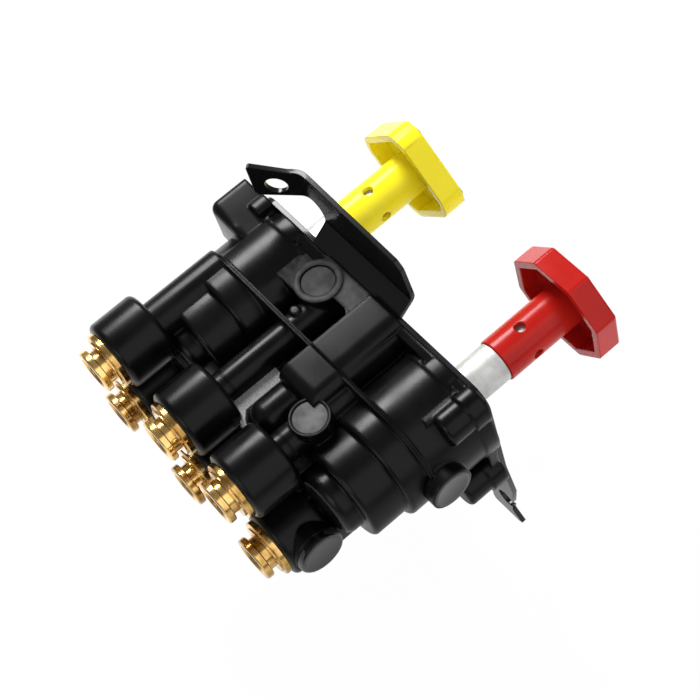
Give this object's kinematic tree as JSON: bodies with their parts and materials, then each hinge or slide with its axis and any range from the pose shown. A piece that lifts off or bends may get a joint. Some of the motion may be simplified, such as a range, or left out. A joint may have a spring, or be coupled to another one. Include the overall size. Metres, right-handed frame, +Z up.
{
  "type": "dash control valve",
  "caption": "Twin push-pull air valve for a vehicle dash: moulded two-part body, steel bracket with ears, brass push-in tube ports, octagonal and square knobs.",
  "frame": {"origin": "midway between the two plunger axes, on the front face of the valve flange where the bracket plate lies", "axes": "+X from the octagonal knob to the square knob, +Y from the knobs to the tube ports, +Z up"},
  "size_m": [0.1565, 0.1629, 0.1362],
  "materials": {
    "bracket_black": "gloss black paint",
    "body_black": "satin moulded",
    "knob_yellow": "gloss",
    "knob_red": "gloss",
    "stem_aluminium": "turned",
    "pin_steel": "bright",
    "guide_white": "moulded",
    "seal_rubber": "matte",
    "spring_steel": "bright",
    "plug_grey": "fine texture",
    "plug_black": "satin",
    "fitting_brass": "polished",
    "screw_steel": "zinc plated"
  },
  "bodies": {
    "valve_body": {"mounting_bracket": "bracket_black", "front_housing": "body_black", "rear_housing": "body_black", "plunger_guide_park": "guide_white", "plunger_guide_supply": "guide_white", "stem_wiper_park": "seal_rubber", "stem_wiper_supply": "seal_rubber", "guide_rings": "seal_rubber", "return_spring_park": "spring_steel", "return_spring_supply": "spring_steel", "grip_rings": "pin_steel", "tube_seals": "seal_rubber", "plug_top_front": "plug_grey", "plug_top_rear": "plug_grey", "plug_side_front": "plug_black", "plug_side_rear": "plug_black", "plug_seals": "seal_rubber", "interlock_spring": "spring_steel", "bracket_screws": "screw_steel", "port_collar_1": "fitting_brass", "port_collar_2": "fitting_brass", "port_collar_3": "fitting_brass", "port_collar_4": "fitting_brass", "port_collar_5": "fitting_brass", "port_collar_6": "fitting_brass"},
    "park_plunger": {"plunger_park": "stem_aluminium", "plunger_rings_park": "seal_rubber", "knob_park": "knob_yellow", "knob_pin_park": "pin_steel"},
    "supply_plunger": {"plunger_supply": "stem_aluminium", "plunger_rings_supply": "seal_rubber", "knob_supply": "knob_red", "knob_pin_supply": "pin_steel"},
    "check": {"check_shuttle": "guide_white"},
    "interlock": {"interlock_poppet": "pin_steel"},
    "collet_1": {"release_collet_1": "fitting_brass"},
    "collet_2": {"release_collet_2": "fitting_brass"},
    "collet_3": {"release_collet_3": "fitting_brass"},
    "collet_4": {"release_collet_4": "fitting_brass"},
    "collet_5": {"release_collet_5": "fitting_brass"},
    "collet_6": {"release_collet_6": "fitting_brass"}
  },
  "joints": [
    {"name": "park_push", "type": "slide", "parent": "valve_body", "child": "park_plunger", "axis": [0, 1, 0], "range_m": [0, 0.013], "stiffness_N_per_m": 900, "springref_m": -0.004, "deforming": ["return_spring_park"]},
    {"name": "supply_push", "type": "slide", "parent": "valve_body", "child": "supply_plunger", "axis": [0, 1, 0], "range_m": [0, 0.013], "stiffness_N_per_m": 900, "springref_m": -0.004, "deforming": ["return_spring_supply"]},
    {"name": "check_travel", "type": "slide", "parent": "valve_body", "child": "check", "axis": [0, 0, 1], "range_m": [-0.003, 0.003]},
    {"name": "interlock_lift", "type": "slide", "parent": "valve_body", "child": "interlock", "axis": [0, 0, 1], "range_m": [0, 0.002], "stiffness_N_per_m": 300, "springref_m": -0.001, "deforming": ["interlock_spring"]},
    {"name": "collet_1_release", "type": "slide", "parent": "valve_body", "child": "collet_1", "axis": [0, 1, 0], "range_m": [-0.0015, 0], "stiffness_N_per_m": 1200},
    {"name": "collet_2_release", "type": "slide", "parent": "valve_body", "child": "collet_2", "axis": [0, 1, 0], "range_m": [-0.0015, 0], "stiffness_N_per_m": 1200},
    {"name": "collet_3_release", "type": "slide", "parent": "valve_body", "child": "collet_3", "axis": [0, 1, 0], "range_m": [-0.0015, 0], "stiffness_N_per_m": 1200},
    {"name": "collet_4_release", "type": "slide", "parent": "valve_body", "child": "collet_4", "axis": [0, 1, 0], "range_m": [-0.0015, 0], "stiffness_N_per_m": 1200},
    {"name": "collet_5_release", "type": "slide", "parent": "valve_body", "child": "collet_5", "axis": [0, 1, 0], "range_m": [-0.0015, 0], "stiffness_N_per_m": 1200},
    {"name": "collet_6_release", "type": "slide", "parent": "valve_body", "child": "collet_6", "axis": [0, 1, 0], "range_m": [-0.0015, 0], "stiffness_N_per_m": 1200}
  ]
}
